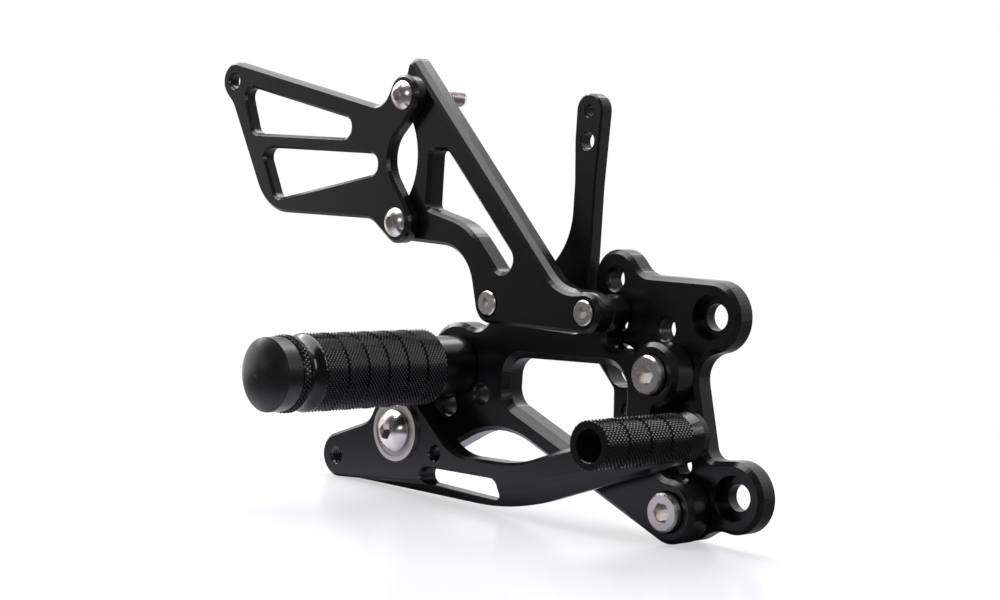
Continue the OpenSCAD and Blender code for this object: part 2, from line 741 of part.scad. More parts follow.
module footrest_grip() {
    r = grip_d / 2;
    dip = r - waist_h;
    rim = r - 0.2;
    color("#161617") laid() difference() {
        translate([peg[0], peg[1], 0]) rotate_extrude($fn = round_fn) polygon(concat(
            [[0, grip_out], [r - 1.2, grip_out], [r, grip_out + 1.2]],
            ring_grooves(r, grip_out, grip_l, grip_rings),
            [
                [r, waist_out], [r - waist_h * 0.45, waist_out + waist_l * 0.2],
                [r - waist_h * 0.85, waist_out + waist_l * 0.42], [dip, waist_out + waist_l * 0.6],
                [dip, waist_out + waist_l * 0.72], [r - waist_h * 0.8, rim_out - waist_l * 0.14],
                [rim, rim_out], [rim, cap_out - knurl_edge], [rim - knurl_edge, cap_out], [0, cap_out]
            ]
        ));
        bar(peg, bolt_room, grip_out - over, bolt_end + 4);
        bar(peg, bolt_room, cap_out - plug_l - 2, cap_out + over);
    }
}

module footrest_end_cap() {
    dome_r = (cap_dome * cap_dome + cap_d * cap_d / 4) / (2 * cap_dome);
    color("#141414") laid() union() {
        intersection() {
            bar(peg, cap_d, cap_out, cap_out + cap_l + cap_dome + over);
            translate([peg[0], peg[1], cap_out + cap_l + cap_dome - dome_r]) sphere(r = dome_r, $fn = 96);
        }
        bar(peg, peg_bolt_d, cap_out - plug_l, cap_out + over);
    }
}

module footrest_bolt() {
    color("#c9c9cb") laid() translate([peg[0], peg[1], bracket_out + peg_head_h]) rotate([180, 0, 0])
        cap_screw(peg_bolt_d, peg_bolt_l, peg_head_d, peg_head_h);
}

// Brake pedal
toe_end_r = toe_end_d / 2;
rod_end_r = rod_end_d / 2;
pedal_hub_r = pedal_hub_d / 2;
seat_lip = 2;
spring_at = pivot + [19.8, -5.2];
arch_r = 20;
arch = pivot + [35.6, 15.7];
crest_r = 50;
keel_r = 105;
pedal_outline = [
    corner(toe, toe_end_r, 1, 0.3),
    corner(arch + [14, 30.8], crest_r, -1),
    corner(arch, arch_r, -1),
    corner(pivot, pedal_hub_r),
    corner(beside(pivot, pedal_hub_r, 8, 161.1, 0.15), 8, -1),
    corner(rod, rod_end_r),
    corner(pivot + [36.4, keel_r - 20.5], keel_r, 1, 1)
];
slot_rear_r = 3.1;
slot_front_r = 3.9;
slot_outline = [
    corner(pivot + [16.1, -13.9], slot_rear_r),
    corner(pivot + [47.8, -13.6], slot_front_r)
];

module brake_pedal() {
    face = pedal_face;
    color("#1b1b1d") laid() difference() {
        slab(pedal_outline, [
            [pedal_out, pedal_edge / 2, 0], [pedal_out + pedal_edge / 2, 0, 0],
            [face - pedal_bevel_h, 0, 0],
            [face - pedal_edge, 0, pedal_bevel * (1 - pedal_edge / pedal_bevel_h)],
            [face, pedal_edge, pedal_bevel]
        ]);
        window(slot_outline, pedal_out, pedal_t, pedal_edge / 2);
        bar(pivot, bearing_d + 2 * bearing_gap, bearing_out, face + over);
        bar(pivot, bearing_d - 2 * seat_lip, pedal_out - over, bearing_out + over);
        drill(rod, rod_d, pedal_out, pedal_t);
        drill(spring_at, spring_hole_d, pedal_out, pedal_t);
        bar(toe, toe_screw_d + 2 * thread_gap, pedal_out - over, face + over);
    }
}

// Toe peg
module toe_peg() {
    color("#161617") laid() difference() {
        translate([toe[0], toe[1], 0]) rotate_extrude($fn = round_fn) polygon(concat(
            [[0, pedal_face], [toe_d / 2 - knurl_edge, pedal_face], [toe_d / 2, pedal_face + knurl_edge]],
            ring_grooves(toe_d / 2, pedal_face, toe_l, toe_rings),
            [[toe_d / 2, toe_face - knurl_edge], [toe_d / 2 - knurl_edge, toe_face], [0, toe_face]]
        ));
        bar(toe, toe_screw_d + 2 * hole_gap, pedal_face - over, toe_face + over);
        bar(toe, toe_head_d + 2 * hole_gap, toe_face - toe_sunk - toe_head_h, toe_face + over);
    }
}

module toe_peg_screw() {
    seat = toe_face - toe_sunk - toe_head_h;
    color("#8d8d90") laid() translate([toe[0], toe[1], seat])
        cap_screw(toe_screw_d, seat - pedal_out - 0.5, toe_head_d, toe_head_h);
}

// Pedal bearing: the balls run in a groove of each ring, halfway between them
ring_t = (bearing_d - bearing_bore) / 4 - ball_d * 0.33;
inner_land = bearing_bore / 2 + ring_t;
outer_land = bearing_d / 2 - ring_t;
pitch_r = (inner_land + outer_land) / 2;
groove_r = ball_d / 2 + bearing_gap;
shield_t = 0.4;
shield_in = 0.3;
shield_step = 0.6;
bearing_mid = bearing_out + bearing_w / 2;

// Ring profile points between the two faces, with the shield's step at each end
module ring_body(r_face, r_land, r_step) {
    rotate_extrude($fn = round_fn) polygon([
        [r_face, bearing_out], [r_step, bearing_out], [r_step, bearing_out + shield_in + shield_t],
        [r_land, bearing_out + shield_in + shield_t], [r_land, bearing_face - shield_in - shield_t],
        [r_step, bearing_face - shield_in - shield_t], [r_step, bearing_face], [r_face, bearing_face]
    ]);
}

module ball_groove() {
    translate([0, 0, bearing_mid]) rotate_extrude($fn = round_fn)
        translate([pitch_r, 0]) circle(r = groove_r, $fn = 48);
}

module bearing_outer_ring() {
    color("#b9babc") laid() translate([pivot[0], pivot[1], 0]) difference() {
        ring_body(bearing_d / 2, outer_land, outer_land + shield_step);
        ball_groove();
    }
}

module bearing_inner_ring() {
    color("#b9babc") laid() translate([pivot[0], pivot[1], 0]) difference() {
        ring_body(bearing_bore / 2 + bearing_gap, inner_land, inner_land - shield_step);
        ball_groove();
    }
}

module bearing_balls() {
    color("#d0d0d2") laid() translate([pivot[0], pivot[1], bearing_mid])
        for (i = [0 : ball_count - 1]) rotate(i * 360 / ball_count)
            translate([pitch_r, 0, 0]) sphere(d = ball_d, $fn = 48);
}

module bearing_shield(z) {
    color("#7c7d80") laid() difference() {
        bar(pivot, 2 * (outer_land + shield_step), z, z + shield_t);
        bar(pivot, 2 * (inner_land + 0.2), z - over, z + shield_t + over);
    }
}

module pivot_spacer() {
    color("#b9babc") laid() difference() {
        bar(pivot, 2 * inner_land - 0.4, upper_out, bearing_out);
        bar(pivot, bearing_bore + 2 * hole_gap, upper_out - over, bearing_out + over);
    }
}

module pivot_bolt() {
    color("#c9c9cb") laid() translate([pivot[0], pivot[1], bearing_face])
        button_screw(bearing_bore, bearing_face - bracket_out - 0.5, pivot_head_d, pivot_head_h);
}

mount_plate();
footrest_bracket();
upper_bracket();
heel_guard();
switch_arm();
bracket_bolt(bolt_upper);  // bracket_bolt_upper
bracket_bolt(bolt_lower);  // bracket_bolt_lower
clamp_screw(clamp_rear, arm_out + 0.5);  // clamp_screw_rear
clamp_screw(clamp_front, bracket_out + 0.5);  // clamp_screw_front
guard_bolt(stud_upper);  // guard_bolt_upper
guard_bolt(stud_lower);  // guard_bolt_lower
footrest_spacer();
footrest_grip();
footrest_end_cap();
footrest_bolt();
brake_pedal();
toe_peg();
toe_peg_screw();
bearing_outer_ring();
bearing_inner_ring();
bearing_balls();
bearing_shield(bearing_face - shield_in - shield_t);  // bearing_shield_front
bearing_shield(bearing_out + shield_in);  // bearing_shield_back
pivot_spacer();
pivot_bolt();
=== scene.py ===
"""Looks of the motorcycle rear set: knurls, screw threads, materials, floor, light and camera.

Metres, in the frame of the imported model: +X forward on the bike, +Z up, -Y outwards from the frame.
"Out" below is a distance outwards, so a station at out s lies at y = -s.
"""

import json
import math

import bmesh
import bpy
from mathutils import Matrix, Vector


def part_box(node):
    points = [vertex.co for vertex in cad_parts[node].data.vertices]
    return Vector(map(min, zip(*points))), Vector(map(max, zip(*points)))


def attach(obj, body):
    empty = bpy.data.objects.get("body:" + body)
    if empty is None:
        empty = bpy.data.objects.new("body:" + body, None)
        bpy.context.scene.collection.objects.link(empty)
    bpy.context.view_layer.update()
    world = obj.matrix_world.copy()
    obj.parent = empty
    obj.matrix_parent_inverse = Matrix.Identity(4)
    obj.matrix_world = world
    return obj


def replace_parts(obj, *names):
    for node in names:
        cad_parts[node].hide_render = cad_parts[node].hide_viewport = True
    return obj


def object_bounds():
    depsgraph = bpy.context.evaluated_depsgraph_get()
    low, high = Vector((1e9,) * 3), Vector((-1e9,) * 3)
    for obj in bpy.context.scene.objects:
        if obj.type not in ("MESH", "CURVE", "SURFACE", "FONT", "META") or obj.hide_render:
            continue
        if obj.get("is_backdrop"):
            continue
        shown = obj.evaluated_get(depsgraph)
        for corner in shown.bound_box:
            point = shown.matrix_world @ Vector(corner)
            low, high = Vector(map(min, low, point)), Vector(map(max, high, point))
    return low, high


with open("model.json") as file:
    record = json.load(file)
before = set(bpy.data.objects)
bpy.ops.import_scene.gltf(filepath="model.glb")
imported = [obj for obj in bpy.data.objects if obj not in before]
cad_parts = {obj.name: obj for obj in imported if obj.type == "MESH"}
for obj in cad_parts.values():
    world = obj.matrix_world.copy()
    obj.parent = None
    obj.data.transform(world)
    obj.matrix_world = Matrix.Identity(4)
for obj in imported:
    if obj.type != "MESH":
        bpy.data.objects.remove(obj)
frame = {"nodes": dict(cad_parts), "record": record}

MM = 0.001
TAU = 2 * math.pi

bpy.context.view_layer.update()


# Materials

CLOUD_SCALE = 60
CLOUD_DETAIL = 5
CLOUD_BUMP = 0.15
GRAIN_DETAIL = 3
GRAIN_BUMP = 0.5
POLISH_GRAIN = 5000
POLISH_WAVE = 2e-6
NOISE_LOW = 0.3
NOISE_HIGH = 0.7


def cleared(tree):
    """The nodes and links of an emptied node tree."""
    tree.nodes.clear()
    return tree.nodes, tree.links


def noise(nodes, links, scale, detail):
    """A noise texture in object coordinates."""
    coordinates = nodes.new("ShaderNodeTexCoord")
    texture = nodes.new("ShaderNodeTexNoise")
    texture.inputs["Scale"].default_value = scale
    texture.inputs["Detail"].default_value = detail
    links.new(coordinates.outputs["Object"], texture.inputs["Vector"])
    return texture.outputs["Fac"]


def spread(nodes, links, source, low, high):
    """source, a noise value near 0.5, spread from low to high."""
    node = nodes.new("ShaderNodeMapRange")
    node.inputs["From Min"].default_value = NOISE_LOW
    node.inputs["From Max"].default_value = NOISE_HIGH
    node.inputs["To Min"].default_value = low
    node.inputs["To Max"].default_value = high
    links.new(source, node.inputs["Value"])
    return node.outputs["Result"]


def tint(nodes, links, source, dark, light):
    """A colour between dark and light."""
    node = nodes.new("ShaderNodeMix")
    node.data_type = "RGBA"
    node.inputs["A"].default_value = (*dark, 1)
    node.inputs["B"].default_value = (*light, 1)
    links.new(source, node.inputs["Factor"])
    return node.outputs["Result"]


def relief(nodes, links, shader, sources):
    """Chains bumps [(source, strength, height)] into the shader's normal."""
    last = None
    for source, strength, height in sources:
        bump = nodes.new("ShaderNodeBump")
        bump.inputs["Strength"].default_value = strength
        bump.inputs["Distance"].default_value = height
        links.new(source, bump.inputs["Height"])
        if last:
            links.new(last, bump.inputs["Normal"])
        last = bump.outputs["Normal"]
    links.new(last, shader.inputs["Normal"])


def finish(name, dark, light, rough, metallic, grain, grain_height=4e-6, specular=0.5, wave=2e-5):
    """A metal or coating: cloudy tint, grained roughness, and a relief of fine grain and slight waves."""
    material = bpy.data.materials.new(name)
    material.use_nodes = True
    nodes, links = cleared(material.node_tree)
    output = nodes.new("ShaderNodeOutputMaterial")
    shader = nodes.new("ShaderNodeBsdfPrincipled")
    links.new(shader.outputs["BSDF"], output.inputs["Surface"])
    cloud = noise(nodes, links, CLOUD_SCALE, CLOUD_DETAIL)
    fine = noise(nodes, links, grain, GRAIN_DETAIL)
    links.new(tint(nodes, links, cloud, dark, light), shader.inputs["Base Color"])
    links.new(spread(nodes, links, fine, *rough), shader.inputs["Roughness"])
    shader.inputs["Metallic"].default_value = metallic
    shader.inputs["Specular IOR Level"].default_value = specular
    relief(nodes, links, shader, [(cloud, CLOUD_BUMP, wave), (fine, GRAIN_BUMP, grain_height)])
    return material


def coating(name, dark, light, rough, grain, specular=0.5):
    return finish(name, dark, light, rough, 0.0, grain, specular=specular)


def polished(name, dark, light, rough, grain_height=2e-7):
    return finish(name, dark, light, rough, 1.0, POLISH_GRAIN, grain_height=grain_height, wave=POLISH_WAVE)


SCREW_DARK = (0.72, 0.67, 0.66)
SCREW_LIGHT = (0.8, 0.75, 0.74)
anodised = coating("anodised", (0.0035, 0.0035, 0.004), (0.006, 0.006, 0.0068), (0.2, 0.27), 2600)
knurled = coating("knurled", (0.0025, 0.0025, 0.0029), (0.005, 0.005, 0.0055), (0.14, 0.22), 3000, 0.4)
thread_black = coating("thread_black", (0.012, 0.012, 0.013), (0.022, 0.022, 0.024), (0.16, 0.24), 3000, 1.0)
cap_black = coating("cap_black", (0.004, 0.004, 0.0044), (0.007, 0.007, 0.0076), (0.26, 0.33), 3200, 0.6)
screw = polished("screw_satin", SCREW_DARK, SCREW_LIGHT, (0.23, 0.28))
pivot_steel = polished("pivot_steel", SCREW_DARK, SCREW_LIGHT, (0.17, 0.21))
ring_steel = polished("ring_steel", (0.60, 0.57, 0.54), (0.70, 0.67, 0.64), (0.3, 0.38), grain_height=3e-7)
shield_steel = finish(
    "shield_steel", (0.40, 0.38, 0.35), (0.50, 0.48, 0.45), (0.36, 0.46), 1.0, 3000, grain_height=1e-6
)
dark_steel = finish("dark_steel", (0.03, 0.03, 0.031), (0.05, 0.05, 0.052), (0.3, 0.42), 1.0, 2600)

# The finish for each of the record's material slots, worn by its subparts
SLOT_LOOKS = {
    "black_anodised": anodised,
    "black_knurled": knurled,
    "screw_steel": screw,
    "bearing_steel": ring_steel,
}
NODE_LOOKS = {
    "footrest_end_cap": cap_black,
    "pivot_bolt": pivot_steel,
    "bearing_shield_front": shield_steel,
    "bearing_shield_back": shield_steel,
    "toe_peg_screw": dark_steel,
}


def paint(obj, material):
    obj.data.materials.clear()
    obj.data.materials.append(material)


def piece(name, mesh, material, body):
    """A new piece that rides on a body and wears the material it is given."""
    obj = bpy.data.objects.new(name, mesh)
    bpy.context.scene.collection.objects.link(obj)
    paint(obj, material)
    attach(obj, body)
    return obj


for part in frame["record"]["subparts"]:
    node = part["node"]
    look = NODE_LOOKS.get(node, SLOT_LOOKS[part["material_slot"]])
    paint(frame["nodes"][node], look)


# Turned and knurled pieces

# Share of a knurl's diamond that its flattened tip takes
TIP_SHARE = 0.22
# Rows of diamonds between two ring grooves
KNURL_ROWS = 6
KNURL_DEPTH = 0.5 * MM
KNURL_EDGE = 0.4 * MM
GROOVE_WIDTH = 0.95 * MM
GROOVE_DEPTH = 0.75 * MM
# A plain land runs along each edge of a groove, a little below the tips, and then the flank
GROOVE_LAND = GROOVE_WIDTH * 0.14
GROOVE_LAND_DROP = KNURL_DEPTH * 0.3
GROOVE_FLANK = GROOVE_WIDTH * 0.34


def mesh_of(name, points, faces, smooth=()):
    """A mesh with its normals outwards, flat except where smooth says otherwise."""
    mesh = bpy.data.meshes.new(name)
    mesh.from_pydata(points, [], faces)
    for face, is_smooth in zip(mesh.polygons, smooth):
        face.use_smooth = is_smooth
    made = bmesh.new()
    made.from_mesh(mesh)
    bmesh.ops.recalc_face_normals(made, faces=made.faces)
    made.to_mesh(mesh)
    made.free()
    return mesh


class Skin:
    """A skin of revolution about an outward axis, built station by station from rings and knurl bands.

    Every ring has three points for each diamond, where a knurl band's edge has them, so bands and plain
    rings join edge to edge.
    """

    def __init__(self, centre, around):
        self.centre = centre
        self.around = around
        self.points = []
        self.faces = []
        self.smooth = []
        self.last = None
        self.angles = []
        for j in range(around):
            self.angles += [2 * j, 2 * j + 1 - TIP_SHARE, 2 * j + 1 + TIP_SHARE]

    def point(self, out, column, radius):
        angle = TAU * column / (2 * self.around)
        x, z = self.centre
        self.points.append((x + radius * math.cos(angle), -out, z + radius * math.sin(angle)))
        return len(self.points) - 1

    def face(self, corners, smooth):
        self.faces.append(corners)
        self.smooth.append(smooth)

    def join(self, ring, smooth):
        if self.last:
            n = len(ring)
            for i in range(n):
                j = (i + 1) % n
                self.face((self.last[i], self.last[j], ring[j], ring[i]), smooth)
        self.last = ring

    def ring(self, out, radius, smooth=False):
        self.join([self.point(out, column, radius) for column in self.angles], smooth)
        return self.last

    def band(self, start, end, rows, radius):
        """Diamonds with flattened tips at this radius, between two stations."""
        columns = 2 * self.around
        halves = 2 * rows
        step = (end - start) / halves
        ways = [(1, 0), (0, 1), (-1, 0), (0, -1)]
        valley = {}
        tips = {}
        for k in range(halves + 1):
            for j in range(columns):
                if (k + j) % 2 == 0:
                    valley[k, j] = self.point(start + k * step, j, radius - KNURL_DEPTH)
                    continue
                for way in ways:
                    if 0 <= k + way[0] <= halves:
                        out = start + (k + way[0] * TIP_SHARE) * step
                        tips[k, j, way] = self.point(out, j + way[1] * TIP_SHARE, radius)
        for k in range(halves + 1):
            for j in range(columns):
                if (k + j) % 2 == 0:
                    continue
                top = [tips[k, j, way] for way in ways if (k, j, way) in tips]
                self.face(tuple(reversed(top)), False)
                for a, b in zip(ways, ways[1:] + ways[:1]):
                    if (k, j, a) in tips and (k, j, b) in tips:
                        foot_a = valley[k + a[0], (j + a[1]) % columns]
                        foot_b = valley[k + b[0], (j + b[1]) % columns]
                        self.face((foot_b, foot_a, tips[k, j, a], tips[k, j, b]), False)

        def edge(k):
            ring = []
            for j in range(0, columns, 2):
                ring += [valley[k, j], tips[k, j + 1, (0, -1)], tips[k, j + 1, (0, 1)]]
            return ring

        self.join(edge(0), False)
        self.last = edge(halves)

    def grooved(self, start, end, grooves, radius):
        """Knurl bands parted by evenly spaced ring grooves with sloping flanks."""
        pitch = (end - start) / (grooves + 1)
        land_r = radius - GROOVE_LAND_DROP
        floor_r = radius - GROOVE_DEPTH
        left = start
        for i in range(1, grooves + 1):
            at = start + i * pitch
            right = at - GROOVE_WIDTH / 2
            self.band(left, right, KNURL_ROWS, radius)
            left = at + GROOVE_WIDTH / 2
            self.ring(right, land_r)
            self.ring(right + GROOVE_LAND, land_r)
            self.ring(right + GROOVE_LAND + GROOVE_FLANK, floor_r)
            self.ring(left - GROOVE_LAND - GROOVE_FLANK, floor_r)
            self.ring(left - GROOVE_LAND, land_r)
            self.ring(left, land_r)
        self.band(left, end, KNURL_ROWS, radius)

    def build(self, name, material, body):
        return piece(name, mesh_of(name, self.points, self.faces, self.smooth), material, body)


def centre_of(node):
    """Centre (x, z) of a node's box."""
    low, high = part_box(node)
    return (low.x + high.x) / 2, (low.z + high.z) / 2


def round_bar(node):
    """Centre, radius, inner station and outer station of a round bar's node."""
    low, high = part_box(node)
    return centre_of(node), (high.x - low.x) / 2, -high.y, -low.y


# Footrest grip: blind bores at both ends, five ring grooves, a waist and a knurled rim
GRIP_DIAMONDS = 52
GRIP_LENGTH = 55.6 * MM
GRIP_GROOVES = 5
GRIP_SHOULDER = 1.2 * MM
WAIST_LENGTH = 7.2 * MM
WAIST_DEPTH = 1.9 * MM
WAIST_STEPS = 14
# The waist is deepest beyond its middle, and fuller than a sine
WAIST_SKEW = 1.25
WAIST_FULLNESS = 0.9
RIM_DROP = 0.2 * MM
RIM_FOOT_DROP = 0.3 * MM
RIM_FOOT_GAP = 0.05 * MM
BORE_RADIUS = 4.05 * MM
# A bore's floor ends this near to its axis
BORE_TIP_RADIUS = 0.2 * MM
SCREW_BORE_DEPTH = 34 * MM
CAP_BORE_DEPTH = 16 * MM
centre, grip_r, grip_in, grip_end = round_bar("footrest_grip")
waist = grip_in + GRIP_LENGTH
rim = waist + WAIST_LENGTH
rim_r = grip_r - RIM_DROP
grip = Skin(centre, GRIP_DIAMONDS)
grip.ring(grip_in + SCREW_BORE_DEPTH, BORE_TIP_RADIUS)
grip.ring(grip_in + SCREW_BORE_DEPTH, BORE_RADIUS)
grip.ring(grip_in, BORE_RADIUS)
grip.ring(grip_in, grip_r - GRIP_SHOULDER)
grip.grooved(grip_in + GRIP_SHOULDER, waist - KNURL_EDGE, GRIP_GROOVES, grip_r)
for i in range(WAIST_STEPS):
    along = (i + 0.5) / WAIST_STEPS
    deep = math.sin(math.pi * along ** WAIST_SKEW) ** WAIST_FULLNESS
    grip.ring(waist + along * WAIST_LENGTH, grip_r - deep * WAIST_DEPTH, True)
grip.ring(rim - RIM_FOOT_GAP, rim_r - RIM_FOOT_DROP, True)
grip.band(rim, grip_end - KNURL_EDGE, 1, rim_r)
grip.ring(grip_end, rim_r - KNURL_EDGE)
grip.ring(grip_end, BORE_RADIUS)
grip.ring(grip_end - CAP_BORE_DEPTH, BORE_RADIUS)
grip.ring(grip_end - CAP_BORE_DEPTH, BORE_TIP_RADIUS)
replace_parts(grip.build("footrest_grip_knurled", knurled, "bracket_set"), "footrest_grip")

# Toe peg: a through hole with a deep counterbore for its screw, and three ring grooves
TOE_DIAMONDS = 32
TOE_GROOVES = 3
HOLE_RADIUS = 3.2 * MM
COUNTERBORE_RADIUS = 5.2 * MM
COUNTERBORE_DEPTH = 24 * MM
COUNTERBORE_EDGE = 0.2 * MM
centre, toe_r, toe_in, toe_end = round_bar("toe_peg")
toe = Skin(centre, TOE_DIAMONDS)
first = toe.ring(toe_in, HOLE_RADIUS)
toe.ring(toe_in, toe_r - KNURL_EDGE)
toe.grooved(toe_in + KNURL_EDGE, toe_end - KNURL_EDGE, TOE_GROOVES, toe_r)
toe.ring(toe_end, toe_r - KNURL_EDGE)
toe.ring(toe_end, COUNTERBORE_RADIUS + COUNTERBORE_EDGE)
toe.ring(toe_end - COUNTERBORE_EDGE, COUNTERBORE_RADIUS)
toe.ring(toe_end - COUNTERBORE_DEPTH, COUNTERBORE_RADIUS, True)
toe.ring(toe_end - COUNTERBORE_DEPTH, HOLE_RADIUS)
toe.join(first, False)
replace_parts(toe.build("toe_peg_knurled", knurled, "pedal"), "toe_peg")


# Screw threads

M8_PITCH = 1.25 * MM
M6_PITCH = 1.0 * MM
# A ridge's straight parts to a turn, and the parts in which it runs out at each end
TURN_PARTS = 36
RUN_OUT_PARTS = TURN_PARTS / 6
# Half widths of a ridge at its foot and at its tip, as shares of the pitch
FOOT_SHARE = 0.44
RIDGE_TIP_SHARE = 0.07


def helix(name, centre, start, end, root, crest, pitch, material, body):
    """A V-shaped ridge wound from station start to station end, from radius root out or in to radius crest.

    Its middle stays half a pitch inside both ends.
    """
    turns = (end - start) / pitch - 1
    count = max(2, int(turns * TURN_PARTS))
    half = FOOT_SHARE * pitch
    tip = RIDGE_TIP_SHARE * pitch
    points = []
    faces = []
    for i in range(count + 1):
        angle = TAU * i / TURN_PARTS
        out = start + pitch / 2 + pitch * i / TURN_PARTS
        fade = min(1, i / RUN_OUT_PARTS, (count - i) / RUN_OUT_PARTS)
        top = root + (crest - root) * fade
        for shift, radius in [(-half, root), (-tip, top), (tip, top), (half, root)]:
            x = centre[0] + radius * math.cos(angle)
            z = centre[1] + radius * math.sin(angle)
            points.append((x, -(out + shift), z))
        if i:
            a = 4 * (i - 1)
            b = 4 * i
            for k in range(3):
                faces.append((a + k, a + k + 1, b + k + 1, b + k))
            faces.append((a + 3, a, b, b + 3))
    faces.append((0, 1, 2, 3))
    b = 4 * count
    faces.append((b + 3, b + 2, b + 1, b))
    return piece(name, mesh_of(name, points, faces), material, body)


# A hole's thread starts and ends this far inside the faces
FACE_GAP = 0.1 * MM

# Threaded holes of the frame plate, placed from its upper bracket bolt: rows and columns of the grid
M8_ROOT = 4.1 * MM
M8_CREST = 3.35 * MM
GRID_ROW = Vector((-2.8, 14.5)) * MM
GRID_COLUMN = Vector((-21.3, 0)) * MM
upper = Vector(centre_of("bracket_bolt_upper"))
span = Vector(centre_of("bracket_bolt_lower")) - upper
plate_out = -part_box("mount_plate")[0].y - FACE_GAP
M8_HOLES = {
    "thread_front_upper": upper + GRID_ROW,
    "thread_middle_upper": upper + GRID_ROW + GRID_COLUMN,
    "thread_rear_upper": upper + 2 * GRID_ROW + GRID_COLUMN,
    "thread_front_lower": upper + GRID_ROW + span,
    "thread_rear_lower": upper + 2 * GRID_ROW + GRID_COLUMN + span,
}
for name, at in M8_HOLES.items():
    helix(name, at, FACE_GAP, plate_out, M8_ROOT, M8_CREST, M8_PITCH, thread_black, "bracket_set")

# Thread of the push rod hole, behind and below the pedal's pivot
ROD_FROM_PIVOT = Vector((32.4, 13.7)) * MM
ROD_ROOT = 3.05 * MM
ROD_CREST = 2.5 * MM
rod = Vector(centre_of("pivot_bolt")) - ROD_FROM_PIVOT
pedal_low, pedal_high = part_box("brake_pedal")
rod_in = -pedal_high.y + FACE_GAP
rod_out = -pedal_low.y - FACE_GAP
helix("thread_push_rod", rod, rod_in, rod_out, ROD_ROOT, ROD_CREST, M6_PITCH, thread_black, "pedal")

# Free ends of the master cylinder bolts, which start inside the upper bracket's hole
BOLT_DIAMONDS = 12
BOLT_CUT = 0.5 * MM
BOLT_CORE_SUNK = 1.5 * MM
BOLT_THREAD_SUNK = 1.2 * MM
BOLT_THREAD_START = 0.4 * MM
BOLT_CORE_RADIUS = 2.45 * MM
BOLT_END_RADIUS = 2.0 * MM
BOLT_END_CHAMFER = 0.5 * MM
BOLT_AXIS_RADIUS = 0.1 * MM
BOLT_THREAD_ROOT = 2.44 * MM
BOLT_THREAD_CREST = 2.99 * MM
WELD = 1e-6


def threaded_bolt(node):
    """The bolt's head and shank, cut off inside the upper bracket, with a threaded core from there."""
    name = node + "_head"
    end = -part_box(node)[1].y
    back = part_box("upper_bracket")[1].y
    mesh = frame["nodes"][node].data.copy()
    made = bmesh.new()
    made.from_mesh(mesh)
    for vertex in made.verts:
        vertex.co.y = min(vertex.co.y, back - BOLT_CUT)
    bmesh.ops.dissolve_degenerate(made, dist=WELD, edges=made.edges)
    made.to_mesh(mesh)
    made.free()
    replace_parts(piece(name, mesh, screw, "bracket_set"), node)
    centre = Vector(centre_of(node))
    core = Skin(centre, BOLT_DIAMONDS)
    core.ring(end, BOLT_AXIS_RADIUS)
    core.ring(end, BOLT_END_RADIUS)
    core.ring(end + BOLT_END_CHAMFER, BOLT_CORE_RADIUS, True)
    core.ring(-back + BOLT_CORE_SUNK, BOLT_CORE_RADIUS, True)
    core.ring(-back + BOLT_CORE_SUNK, BOLT_AXIS_RADIUS)
    core.build(name + "_core", screw, "bracket_set")
    helix(
        name + "_thread", centre, end + BOLT_THREAD_START, -back + BOLT_THREAD_SUNK,
        BOLT_THREAD_ROOT, BOLT_THREAD_CREST, M6_PITCH, screw, "bracket_set"
    )


threaded_bolt("guard_bolt_upper")
threaded_bolt("guard_bolt_lower")


# Floor, light and camera

# The way from the camera to the white background behind the object, and where that background starts
BEHIND = (-0.7, 0.71, 0)
BEHIND_RAMP = (0.0, 0.35)
WHITE = (1, 1, 1, 1)


def smooth_ramp(nodes, links, value, start, end):
    """0 up to start and 1 from end, with a soft step between."""
    ramp = nodes.new("ShaderNodeMapRange")
    ramp.interpolation_type = "SMOOTHSTEP"
    ramp.inputs["From Min"].default_value = start
    ramp.inputs["From Max"].default_value = end
    links.new(value, ramp.inputs["Value"])
    return ramp.outputs["Result"]


def sees_background(nodes, links, place):
    """1 for camera rays, and for glossy and transmission rays where place lies behind the object."""
    rays = nodes.new("ShaderNodeLightPath")
    along = nodes.new("ShaderNodeVectorMath")
    along.operation = "DOT_PRODUCT"
    along.inputs[1].default_value = BEHIND
    links.new(place, along.inputs[0])
    behind = smooth_ramp(nodes, links, along.outputs["Value"], *BEHIND_RAMP)
    seen = rays.outputs["Is Camera Ray"]
    for kind in ("Is Glossy Ray", "Is Transmission Ray"):
        share = nodes.new("ShaderNodeMath")
        share.operation = "MULTIPLY"
        links.new(rays.outputs[kind], share.inputs[0])
        links.new(behind, share.inputs[1])
        either = nodes.new("ShaderNodeMath")
        either.operation = "MAXIMUM"
        links.new(seen, either.inputs[0])
        links.new(share.outputs["Value"], either.inputs[1])
        seen = either.outputs["Value"]
    return seen


def mixed(nodes, links, share, first, second):
    """A shader that goes from first to second as share goes from 0 to 1."""
    mix = nodes.new("ShaderNodeMixShader")
    links.new(share, mix.inputs["Fac"])
    links.new(first, mix.inputs[1])
    links.new(second, mix.inputs[2])
    return mix.outputs["Shader"]


# The floor is a pale ground near the object and turns into the background further away; to rays other than
# camera rays the far floor shows painted shade, a dark grey, except where glossy and transmission rays see
# the background behind the object
FLOOR_GAP = 0.1 * MM
FLOOR_SIDE = 8.0
FLOOR_COLOUR = (0.76, 0.755, 0.86, 1)
FLOOR_ROUGHNESS = 0.2
FLOOR_SPECULAR = 0.35
# Painted shade: the dark grey of the floor beyond the lit ground, shown to all rays but camera rays
FAR_PAINTED_SHADE = (0.10, 0.10, 0.10, 1)
# Distances between which the floor fades, for camera rays and for the rest
FADE_SEEN = (0.16, 0.42)
FADE_OTHER = (0.0, 0.17)
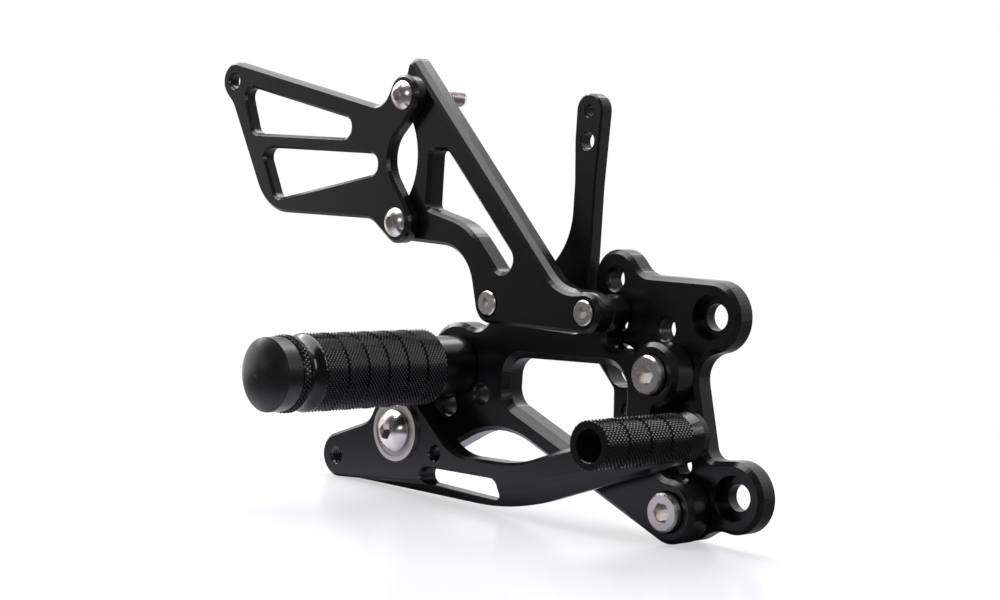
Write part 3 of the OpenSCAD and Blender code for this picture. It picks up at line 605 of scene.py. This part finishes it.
# Share of background in what the camera sees of the near floor
FLOOR_LIFT = 0.55
floor_material = bpy.data.materials.new("floor")
floor_material.use_nodes = True
nodes, links = cleared(floor_material.node_tree)
output = nodes.new("ShaderNodeOutputMaterial")
ground = nodes.new("ShaderNodeBsdfPrincipled")
ground.inputs["Base Color"].default_value = FLOOR_COLOUR
ground.inputs["Roughness"].default_value = FLOOR_ROUGHNESS
ground.inputs["Specular IOR Level"].default_value = FLOOR_SPECULAR
white = nodes.new("ShaderNodeEmission")
white.inputs["Color"].default_value = WHITE
# Painted shade on the far floor, for rays other than camera rays
dark = nodes.new("ShaderNodeBsdfDiffuse")
dark.inputs["Color"].default_value = FAR_PAINTED_SHADE
rays = nodes.new("ShaderNodeLightPath")
place = nodes.new("ShaderNodeTexCoord").outputs["Object"]
background = sees_background(nodes, links, place)
far = mixed(nodes, links, background, dark.outputs["BSDF"], white.outputs["Emission"])
reach = nodes.new("ShaderNodeVectorMath")
reach.operation = "LENGTH"
links.new(place, reach.inputs[0])
lift = nodes.new("ShaderNodeMapRange")
lift.inputs["To Min"].default_value = FLOOR_LIFT
links.new(smooth_ramp(nodes, links, reach.outputs["Value"], *FADE_SEEN), lift.inputs["Value"])
share = nodes.new("ShaderNodeMix")
links.new(rays.outputs["Is Camera Ray"], share.inputs["Factor"])
links.new(smooth_ramp(nodes, links, reach.outputs["Value"], *FADE_OTHER), share.inputs["A"])
links.new(lift.outputs["Result"], share.inputs["B"])
floor_shader = mixed(nodes, links, share.outputs["Result"], ground.outputs["BSDF"], far)
links.new(floor_shader, output.inputs["Surface"])

low, high = (Vector(corner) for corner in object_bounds())
middle = (low + high) / 2
bpy.ops.mesh.primitive_plane_add(size=FLOOR_SIDE, location=(middle.x, middle.y, low.z - FLOOR_GAP))
floor = bpy.context.object
floor.name = "floor"
floor.data.materials.append(floor_material)
floor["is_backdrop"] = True

# Name, place and aim from the object's middle in metres, width, height, and power in watts
LAMPS = [
    ("overhead", (-0.36, 0.26, 0.95), (-0.31, 0.21, 0), 1.25, 1.45, 25),
    ("left", (-0.95, 0.0, 0.6), (0, 0, 0), 0.6, 0.5, 5),
    ("right", (0.85, 0.3, 0.55), (0, 0, 0), 0.35, 0.5, 3.8),
    ("front_left", (-0.62, -0.85, 0.2), (0, 0, 0), 0.5, 0.35, 0.22),
    ("front_right", (0.55, -0.85, 0.35), (0, 0, 0), 0.3, 0.3, 1.0),
]
for name, spot, aim, width, height, power in LAMPS:
    data = bpy.data.lights.new(name, "AREA")
    data.shape = "RECTANGLE"
    data.size = width
    data.size_y = height
    data.energy = power
    obj = bpy.data.objects.new(name, data)
    bpy.context.scene.collection.objects.link(obj)
    obj.location = middle + Vector(spot)
    way = middle + Vector(aim) - obj.location
    obj.rotation_euler = way.to_track_quat("-Z", "Y").to_euler()

# A dim room round the object, and a white background
ROOM_GLOW = 0.085
world = bpy.data.worlds.new("studio")
bpy.context.scene.world = world
world.use_nodes = True
nodes, links = cleared(world.node_tree)
output = nodes.new("ShaderNodeOutputWorld")
room = nodes.new("ShaderNodeBackground")
room.inputs["Color"].default_value = WHITE
room.inputs["Strength"].default_value = ROOM_GLOW
backdrop = nodes.new("ShaderNodeBackground")
backdrop.inputs["Color"].default_value = WHITE
backdrop.inputs["Strength"].default_value = 1.0
direction = nodes.new("ShaderNodeTexCoord").outputs["Generated"]
background = sees_background(nodes, links, direction)
world_shader = mixed(nodes, links, background, room.outputs["Background"], backdrop.outputs["Background"])
links.new(world_shader, output.inputs["Surface"])

scene = bpy.context.scene
scene.view_settings.view_transform = "Standard"

# The camera's place, and the directions to the right and to the top of its picture
CAMERA_PLACE = Vector((0.45991672, -0.56838557, 0.06196115))
CAMERA_RIGHT = Vector((0.70441603, 0.70710678, 0.06162842))
CAMERA_UP = Vector((-0.10262434, 0.01554884, 0.99459865))
CAMERA_LENS = 79.92
CAMERA_SENSOR = 36
data = bpy.data.cameras.new("camera")
data.lens = CAMERA_LENS
data.sensor_width = CAMERA_SENSOR
data.sensor_fit = "HORIZONTAL"
camera = bpy.data.objects.new("camera", data)
scene.collection.objects.link(camera)
back = CAMERA_RIGHT.cross(CAMERA_UP)
turn = Matrix((CAMERA_RIGHT, CAMERA_UP, back)).transposed().to_4x4()
camera.matrix_world = Matrix.Translation(CAMERA_PLACE) @ turn
scene.camera = camera
